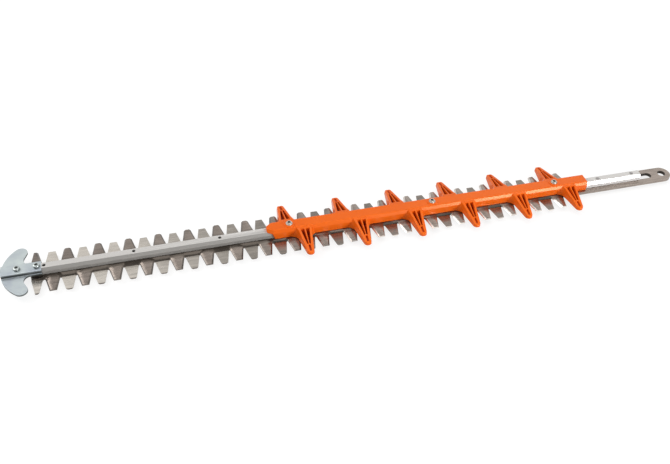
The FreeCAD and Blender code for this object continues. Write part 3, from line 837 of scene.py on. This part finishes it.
@dataclass(frozen=True)
class BladeGuard:
    """Moulded guard: a channel over the rail with screw bosses and two rows of fangs."""

    front_x: float = -468.8
    length: float = 424.0
    half: float = 9.1
    nose_half: float = 4.0
    nose_length: float = 7.0
    top_z: float = 13.1
    slope_run: float = 2.1
    slope_drop: float = 4.2
    roof_radius: float = 1.2
    wall_radius: float = 1.2
    end_radius: float = 0.6
    lift: float = 0.3
    visor_length: float = 5.7
    visor_lift: float = 7.7
    wall_rake: float = 3.3
    least_wall: float = 0.05
    least_land: float = 0.3
    channel_half: float = 6.1
    channel_top_half: float = 4.1
    channel_shoulder_z: float = 4.5
    channel_top_z: float = 8.7
    foot_radius: float = 0.4
    front_round: float = 1.0
    front_round_height: float = 3.2
    front_blend: float = 0.4
    front_reach: float = 1.0
    front_fade: float = 3.0
    corner_share: float = 0.45
    boss_radius: float = 6.5
    boss_bore_radius: float = 2.2
    boss_sink: float = 0.4
    boss_top_z: float = 14.0
    boss_edge: float = 0.45
    left_fang_x: float = -442.6
    right_fang_x: float = -423.8
    fang_pitch: float = 70.5
    fang_count: int = 6
    fang: Fang = Fang()
    sharp_deg: float = 38.0
    end_rows: tuple[float, ...] = (0.0, 0.05, 0.2, 0.4, 0.6, 1.0)
    visor_row: float = 1.5
    rake_row: float = 0.1
    foot_rows: tuple[float, ...] = (0.4, 1.0, 2.0, 3.5)
    rear_row: float = 3.0
    middle_rows: tuple[float, float, int] = (30.0, 410.0, 20)

    def stations(self) -> Array:
        """Places rows close together at both ends and along the raked front edge.

        Returns:
            Distances from the front end, one to a row.
        """
        wall_foot = self.visor_length + self.wall_rake
        ends = np.array(self.end_rows)
        rows = [ends, np.linspace(self.visor_row, self.visor_length, 8),
                np.linspace(self.visor_length + self.rake_row, wall_foot, 16), [self.nose_length],
                wall_foot + np.array(self.foot_rows), np.linspace(*self.middle_rows),
                [self.length - self.rear_row], self.length - ends]
        return np.unique(np.concatenate(rows))[:, None]

    def body(self) -> Array:
        """Section loops of the channel along X.

        Each loop runs over the flat roof, down a sloped shoulder and the wall and back along the
        channel's inside. The shoulder joins roof and wall with rounded edges. The half width narrows to
        the nose. The wall's foot rises along a raked front edge to the roof's visor, with a rounded
        corner there, and both ends are rounded.

        Returns:
            Points by rows along the channel and columns round each section.
        """
        along = self.stations()
        wall_foot = self.visor_length + self.wall_rake
        drop = quarter_drop(np.minimum(along, self.length - along), self.end_radius)
        widen = np.clip(along / self.nose_length, 0.0, 1.0)
        full = self.nose_half + widen * (self.half - self.nose_half)
        inside_share = (full - self.channel_top_half) / (self.channel_half - self.channel_top_half)
        inside_share = np.clip(inside_share, 0.0, 1.0)
        slant = self.channel_top_z + inside_share * (self.channel_shoulder_z - self.channel_top_z)
        rise = np.clip((wall_foot - along) / self.wall_rake, 0.0, 1.0)
        ramp = self.lift + self.visor_lift * rise
        foot = np.where(inside_share < 1.0, np.maximum(slant, ramp), ramp)
        wide = full - drop
        top = self.top_z - drop

        lean = math.atan2(self.slope_run, self.slope_drop)
        roof_setback = self.roof_radius * math.tan((math.pi / 2 - lean) / 2)
        wall_setback = self.wall_radius * math.tan(lean / 2)
        shoulder = self.slope_drop + wall_setback
        size = np.minimum(1.0, (top - foot - self.least_land) / shoulder)
        roof_turn = np.linspace(math.pi / 2, lean, 7)[None, :]
        wall_turn = np.linspace(lean, 0.0, 5)[None, :]
        roof_edge = wide - size * (self.slope_run + roof_setback)
        wall_top = top - size * shoulder
        roof_round = size * self.roof_radius
        wall_round = size * self.wall_radius

        inner = np.minimum(self.channel_half, wide - self.least_wall)
        front = (soft_step(along, self.visor_length, self.front_blend)
                 * (1 - soft_step(along, wall_foot + self.front_reach, self.front_fade)))
        corner = self.foot_radius + front * (self.front_round - self.foot_radius)
        corner = np.minimum(corner, self.corner_share * (wide - inner))
        corner_height = self.foot_radius + front * (self.front_round_height - self.foot_radius)
        corner_height = np.minimum(corner_height, 0.5 * (wall_top - foot))
        bend = np.linspace(0.0, np.pi / 2, 5)[None, :]
        knee = np.maximum(foot, self.channel_shoulder_z)
        knee_share = (knee - self.channel_shoulder_z) / (self.channel_top_z - self.channel_shoulder_z)
        knee_half = self.channel_half + knee_share * (self.channel_top_half - self.channel_half)

        across = [0.5 * roof_edge, roof_edge + roof_round * np.cos(roof_turn),
                  wide - wall_round + wall_round * np.cos(wall_turn),
                  wide - corner + corner * np.cos(bend), np.minimum(inner, knee_half),
                  np.minimum(knee_half, wide - self.least_wall),
                  np.minimum(self.channel_top_half, wide - 2 * self.least_wall)]
        height = [top, top - roof_round + roof_round * np.sin(roof_turn),
                  wall_top + wall_round * np.sin(wall_turn), foot + corner_height * (1 - np.sin(bend)),
                  foot, knee, np.full_like(along, self.channel_top_z)]
        right_y = np.concatenate(across, axis=1)
        right_z = np.concatenate(height, axis=1)
        loop_y = np.concatenate([right_y, -right_y[:, ::-1]], axis=1)
        loop_z = np.concatenate([right_z, right_z[:, ::-1]], axis=1)
        return np.stack([np.broadcast_to(self.front_x + along, loop_y.shape), loop_y, loop_z], axis=-1)

    def shells(self) -> Shells:
        """Gathers the channel, its bosses and its fangs.

        Returns:
            The closed surfaces.
        """
        shells = Shells()
        shells.add(self.body())
        rim = rounded_rim(self.boss_radius, self.boss_top_z, self.boss_edge)
        boss = Turned(((self.boss_radius, self.channel_top_z + self.boss_sink), *rim,
                       (self.boss_bore_radius, self.boss_top_z)))
        for x in GUARD_SCREW_X:
            shells.add(boss.grid(x))
        fang, sunk = self.fang.grid()
        turned = fang * np.array([-1.0, -1.0, 1.0])
        for i in range(self.fang_count):
            shells.add(fang + np.array([self.left_fang_x + i * self.fang_pitch, 0.0, 0.0]), recess=sunk)
            shells.add(turned + np.array([self.right_fang_x + i * self.fang_pitch, 0.0, 0.0]), recess=sunk)
        return shells

    def build(self, material: Material) -> None:
        """Builds and dresses the guard."""
        mesh = self.shells().mesh("guard_moulding", self.sharp_deg)
        add_piece(mesh, material, Body.FRAME, ["blade_guard"])


def driver_socket(mean: float, top: float, depth: float) -> Profile:
    """Makes the profile of a driver socket below a flat top.

    Args:
        mean: the lobes' mean radius.
        top: the top's height.
        depth: the socket's depth. A negative one opens downwards.

    Returns:
        Its points as radius and height.
    """
    lip = 0.12
    floor_share = 0.55
    floor_z = top - depth
    return ((mean + lip, top), (mean, top - math.copysign(lip, depth)), (mean, floor_z),
            (floor_share * mean, floor_z))


@dataclass(frozen=True)
class Screw:
    """Screw that stands on a seat. Its flange's heights are above the seat."""

    thread_end_z: float
    seat_z: float
    flange: Profile
    head_radius: float
    top_z: float
    rim: float
    thread_radius: float = 2.0
    socket_radius: float = 1.86
    socket_depth: float = 1.5
    socket_swing: float = 0.22

    def turned(self) -> Turned:
        """Makes the screw's profile from its thread up to its socket.

        Returns:
            The turned part.
        """
        flange = ((radius, self.seat_z + height) for radius, height in self.flange)
        profile = ((self.thread_radius, self.thread_end_z), (self.thread_radius, self.seat_z), *flange,
                   *rounded_rim(self.head_radius, self.top_z, self.rim))
        return Turned(profile, driver_socket(self.socket_radius, self.top_z, self.socket_depth),
                      self.socket_swing)


@dataclass(frozen=True)
class Fasteners:
    """Guard screws, tip screws, blade bolts and thrust washers."""

    tip_screw_x: tuple[float, ...] = (-754.4, -733.0)
    bolt_x: tuple[float, ...] = (-725.0, -625.0, -525.0, -425.0, -325.0, -225.0, -125.0)
    guard_screw: Screw = Screw(2.7, 14.0, ((3.95, 0.0), (4.1, 0.15), (4.1, 0.5), (3.95, 0.75), (3.5, 0.9),
                                           (3.2, 0.95), (3.1, 1.1)), 3.1, 16.2, 0.35)
    tip_screw: Screw = Screw(1.7, 8.7, ((3.8, 0.0), (3.9, 0.1)), 3.9, 11.5, 1.6)
    bolt_thread_radius: float = 2.5
    bolt_thread_end_z: float = 6.0
    bolt_shoulder_radius: float = 3.8
    bolt_head_radius: float = 6.5
    bolt_head_z: float = -5.65
    bolt_low_z: float = -8.65
    bolt_rim: float = 0.8
    bolt_socket_radius: float = 2.3
    bolt_socket_depth: float = 2.0
    bolt_socket_swing: float = 0.28
    washer_inner: float = 3.95
    washer_outer: float = 8.0
    washer_top_z: float = -4.65
    washer_ease: float = 0.15
    sharp_deg: float = 32.0

    def blade_bolt(self) -> Turned:
        """Makes a shoulder bolt from below, its head lowest.

        Returns:
            The turned part.
        """
        rim = rounded_rim(self.bolt_head_radius, -self.bolt_low_z, self.bolt_rim)
        profile = ((self.bolt_thread_radius, self.bolt_thread_end_z), (self.bolt_thread_radius, 0.0),
                   (self.bolt_shoulder_radius, 0.0), (self.bolt_shoulder_radius, self.bolt_head_z),
                   (self.bolt_head_radius, self.bolt_head_z), *((radius, -height) for radius, height in rim))
        socket = driver_socket(self.bolt_socket_radius, self.bolt_low_z, -self.bolt_socket_depth)
        return Turned(profile, socket, self.bolt_socket_swing)

    def washer(self) -> Turned:
        """Makes a thrust washer from its section loop, whose corners are eased.

        Returns:
            The turned ring.
        """
        ease, low, high = self.washer_ease, self.bolt_head_z, self.washer_top_z
        inner, outer = self.washer_inner, self.washer_outer
        return Turned(((inner, low + ease), (inner + ease, low), (outer - ease, low), (outer, low + ease),
                       (outer, high - ease), (outer - ease, high), (inner + ease, high),
                       (inner, high - ease)))

    def build(self, screws: Material, domes: Material, bolts: Material) -> None:
        """Builds and dresses all the fasteners.

        Args:
            screws: the guard screws' finish.
            domes: the tip screws' finish.
            bolts: the finish of blade bolts and washers.
        """
        numbers = range(1, len(self.bolt_x) + 1)
        guard_nodes = ["guard_screw_front", "guard_screw_middle", "guard_screw_rear"]
        tip_nodes = ["tip_screw_front", "tip_screw_rear"]
        bolt_nodes = [f"blade_bolt_{number}" for number in numbers]
        washer_nodes = [f"thrust_washer_{number}" for number in numbers]
        ring = self.washer()
        sets = [("guard_screws", self.guard_screw.turned(), GUARD_SCREW_X, guard_nodes, screws, Slot.PLATED),
                ("tip_screws", self.tip_screw.turned(), self.tip_screw_x, tip_nodes, domes, Slot.PLATED),
                ("blade_bolts", self.blade_bolt(), self.bolt_x, bolt_nodes, bolts, Slot.BOLT),
                ("thrust_washers", ring, self.bolt_x, washer_nodes, bolts, Slot.BOLT)]
        for name, turned, places, nodes, material, slot in sets:
            shells = Shells()
            for x in places:
                shells.add(turned.grid(x), ring=turned is ring, recess=turned.marks())
            add_piece(shells.mesh(name, self.sharp_deg), material, Body.FRAME, nodes)


@dataclass(frozen=True)
class CopiedPiece:
    """A CAD node shown as a copy, its loose triangles merged and smoothed."""

    node: str
    name: str
    body: Body
    slot: Slot
    sharp_deg: float = 24.0

    def build(self, material: Material) -> None:
        """Builds and dresses the copy.

        Args:
            material: its finish.
        """
        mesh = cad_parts[self.node].data.copy()
        mesh.name = self.name
        face_outwards(mesh, MERGE_DISTANCE)
        smooth(mesh, self.sharp_deg)
        add_piece(mesh, material, self.body, [self.node])


@dataclass(frozen=True)
class AreaLamp:
    """Soft light box aimed at the bar, its sizes in metres."""

    name: str
    direction: tuple[float, float, float]
    distance: float
    width: float
    height: float
    power: float

    def build(self, target: Vector) -> None:
        """Adds the light.

        Args:
            target: the point that it is aimed at, in metres.
        """
        lamp = bpy.data.lights.new(self.name, "AREA")
        lamp.shape = "RECTANGLE"
        lamp.size = self.width
        lamp.size_y = self.height
        lamp.energy = self.power
        light = bpy.data.objects.new(self.name, lamp)
        toward = Vector(self.direction).normalized()
        light.location = target + toward * self.distance
        light.rotation_euler = (-toward).to_track_quat("-Z", "Y").to_euler()
        bpy.context.collection.objects.link(light)


@dataclass(frozen=True)
class Studio:
    """Camera of the photo, pale floor, soft lights and a white surround."""

    target: tuple[float, float, float] = (-385.8, -10.34, -2.325)
    distance: float = 1005.1
    azimuth_deg: float = -17.4
    elevation_deg: float = 43.26
    roll_deg: float = 3.04
    focal_px: float = 823.6
    image_width_px: float = 670.0
    sensor: float = 36.0
    clip_m: Pair = (0.01, 200.0)
    floor_z: float = -8.65
    floor_size_m: float = 60.0
    floor_grey: float = 0.30
    floor_glow: float = 0.76
    surround: float = 0.58
    front: float = 0.32
    rear: float = 0.70
    turn_to_rear: Pair = (-0.6, 0.5)
    lamps: tuple[AreaLamp, ...] = (
        AreaLamp("front_key", (0.525, -0.830, 0.180), 2.2, 0.46, 0.75, 28.0),
        AreaLamp("left_box", (-0.72, 0.30, 0.62), 2.0, 1.1, 1.1, 13.0),
        AreaLamp("top_box", (0.0, 0.1, 1.0), 2.2, 1.6, 1.6, 8.0),
        AreaLamp("rear_box", (0.57, 0.59, 0.57), 2.2, 1.3, 1.3, 2.0),
    )

    def camera(self) -> None:
        """Adds the camera that was solved from the photo."""
        azimuth = math.radians(self.azimuth_deg)
        elevation = math.radians(self.elevation_deg)
        roll = math.radians(self.roll_deg)
        back = Vector((math.sin(azimuth) * math.cos(elevation), -math.cos(azimuth) * math.cos(elevation),
                       math.sin(elevation)))
        level = (-back).cross(Vector((0, 0, 1))).normalized()
        upward = level.cross(-back)
        right = level * math.cos(roll) + upward * math.sin(roll)
        up = upward * math.cos(roll) - level * math.sin(roll)
        data = bpy.data.cameras.new("photo_camera")
        data.sensor_fit = "HORIZONTAL"
        data.sensor_width = self.sensor
        data.lens = self.sensor * self.focal_px / self.image_width_px
        data.clip_start, data.clip_end = self.clip_m
        data.dof.use_dof = False
        camera = bpy.data.objects.new("photo_camera", data)
        turn = Matrix((right, up, back)).transposed().to_4x4()
        place = Vector(self.target) * MM + back * self.distance * MM
        camera.matrix_world = Matrix.Translation(place) @ turn
        bpy.context.collection.objects.link(camera)
        bpy.context.scene.camera = camera

    @staticmethod
    def rays(nodes: Nodes) -> tuple[Socket, Socket]:
        """Tells rays apart.

        Args:
            nodes: the shader's nodes.

        Returns:
            A mask of rays from the camera, and one of rays from mirror-like metal and through clear parts.
        """
        path = nodes.add("LightPath").outputs
        mirrored = nodes.maths("MAXIMUM", path["Is Glossy Ray"], path["Is Transmission Ray"])
        return path["Is Camera Ray"], mirrored

    def floor(self) -> None:
        """Adds the pale floor, which shows white where no shadow falls."""
        half = self.floor_size_m / 2
        z = self.floor_z * MM
        mesh = bpy.data.meshes.new("floor")
        mesh.from_pydata([(-half, -half, z), (half, -half, z), (half, half, z), (-half, half, z)], [],
                         [(0, 1, 2, 3)])
        material = bpy.data.materials.new("floor_white")
        material.use_nodes = True
        nodes = Nodes(material.node_tree)
        matt = nodes.add("BsdfDiffuse", {"Color": (self.floor_grey,) * 3 + (1.0,)})
        seen = nodes.maths("MAXIMUM", *self.rays(nodes))
        glow = nodes.add("Emission", {"Strength": nodes.maths("MULTIPLY", seen, self.floor_glow)})
        both = nodes.add("AddShader", {0: matt.outputs[0], 1: glow.outputs[0]})
        nodes.add("OutputMaterial", {"Surface": both.outputs[0]})
        mesh.materials.append(material)
        floor = bpy.data.objects.new("floor", mesh)
        bpy.context.collection.objects.link(floor)

    def world(self) -> None:
        """Sets the surround: white to the camera, paler behind the bar than in front of it."""
        world = bpy.data.worlds.new("studio")
        world.use_nodes = True
        bpy.context.scene.world = world
        nodes = Nodes(world.node_tree)
        way = nodes.add("SeparateXYZ", {0: nodes.add("TexCoord").outputs["Generated"]}).outputs
        turn_start, turn_end = self.turn_to_rear
        rear = nodes.add("MapRange", {"Value": way["Y"], "From Min": turn_start, "From Max": turn_end,
                                      "To Min": self.front, "To Max": self.rear},
                         interpolation_type="SMOOTHSTEP").outputs[0]
        viewed, mirrored = self.rays(nodes)
        lit = nodes.between(mirrored, self.surround, rear)
        strength = nodes.maths("MAXIMUM", viewed, lit)
        background = nodes.add("Background", {"Color": (1.0, 1.0, 1.0, 1.0), "Strength": strength})
        nodes.add("OutputWorld", {"Surface": background.outputs[0]})

    def build(self) -> None:
        """Builds camera, floor, surround and lights."""
        self.camera()
        self.floor()
        self.world()
        for lamp in self.lamps:
            lamp.build(Vector(self.target) * MM)
        bpy.context.scene.view_settings.view_transform = "Standard"
        log.info("studio: %d lights", len(self.lamps))


def main() -> None:
    """Builds the studio and dresses each sub-assembly."""
    logging.basicConfig(level=logging.INFO, format="%(name)s %(message)s")
    effects = Effects()
    Studio().build()
    # The rail's side colours are painted shade towards the tip and painted light towards the rear.
    rail = DrawnMetal("drawn_aluminium", dark=(0.56, 0.54, 0.515), light=(0.72, 0.70, 0.675),
                      shaded_side_tip=(0.40, 0.385, 0.365), lit_side_rear=(0.88, 0.86, 0.85), smooth=0.24, rough=0.34,
                      along=5.0, across=520.0)
    # Each blade's strip colour is painted shade beside the rail. The lower blade takes its plain dull colour
    # there.
    upper = BladeSteel("upper_blade_steel", ground_edge=-2.2, ground_above=False,
                       strip_shade=(0.115, 0.097, 0.082), strip_shade_half=13.2)
    lower = BladeSteel("lower_blade_steel", ground_edge=-2.45, ground_above=True,
                       strip_shade=BladeSteel.dull, strip_shade_half=2.0)
    # Each plated finish's socket and edge colours are painted shade, for sockets and upright faces.
    zinc = PlatedMetal("zinc_plate", dark=(0.49, 0.54, 0.59), light=(0.62, 0.68, 0.665),
                       socket=(0.05, 0.05, 0.05), edge=(0.11, 0.12, 0.12), smooth=0.34, rough=0.48,
                       scale=45.0)
    dome = PlatedMetal("zinc_dome", dark=(0.50, 0.55, 0.545), light=(0.64, 0.68, 0.66),
                       socket=(0.30, 0.32, 0.31), edge=(0.26, 0.28, 0.28), smooth=0.28, rough=0.42,
                       scale=150.0)
    screw = PlatedMetal("zinc_screw", dark=(0.54, 0.52, 0.465), light=(0.68, 0.655, 0.59),
                        socket=(0.26, 0.25, 0.215), edge=(0.38, 0.365, 0.325), smooth=0.36, rough=0.48,
                        scale=150.0)
    bolt = PlatedMetal("dark_bolt", dark=(0.10, 0.10, 0.10), light=(0.16, 0.155, 0.15),
                       socket=(0.01, 0.01, 0.01), edge=(0.11, 0.105, 0.10), smooth=0.36, rough=0.5,
                       scale=120.0)
    # The plastic's groove colour is painted shade for grooves and fang pockets.
    plastic = MouldedPlastic("orange_plastic", deep=(0.83, 0.125, 0.006), clear=(0.885, 0.145, 0.009),
                             groove=(0.42, 0.028, 0.003), tint=(1.0, 0.75, 0.45), gloss=0.36, smooth=0.23,
                             rough=0.28)

    CopiedPiece("guide_rail", "rail_bar", Body.FRAME, Slot.RAIL).build(rail.material(effects))
    CopiedPiece("upper_blade", "upper_cutter", Body.UPPER, Slot.BLADE).build(upper.material(effects))
    CopiedPiece("lower_blade", "lower_cutter", Body.LOWER, Slot.BLADE).build(lower.material(effects))
    CopiedPiece("tip_guard", "tip_plate", Body.FRAME, Slot.PLATED).build(zinc.material(effects))
    BladeGuard().build(plastic.material(effects))
    Fasteners().build(screw.material(effects), dome.material(effects), bolt.material(effects))


if __name__ == "__main__":
    main()
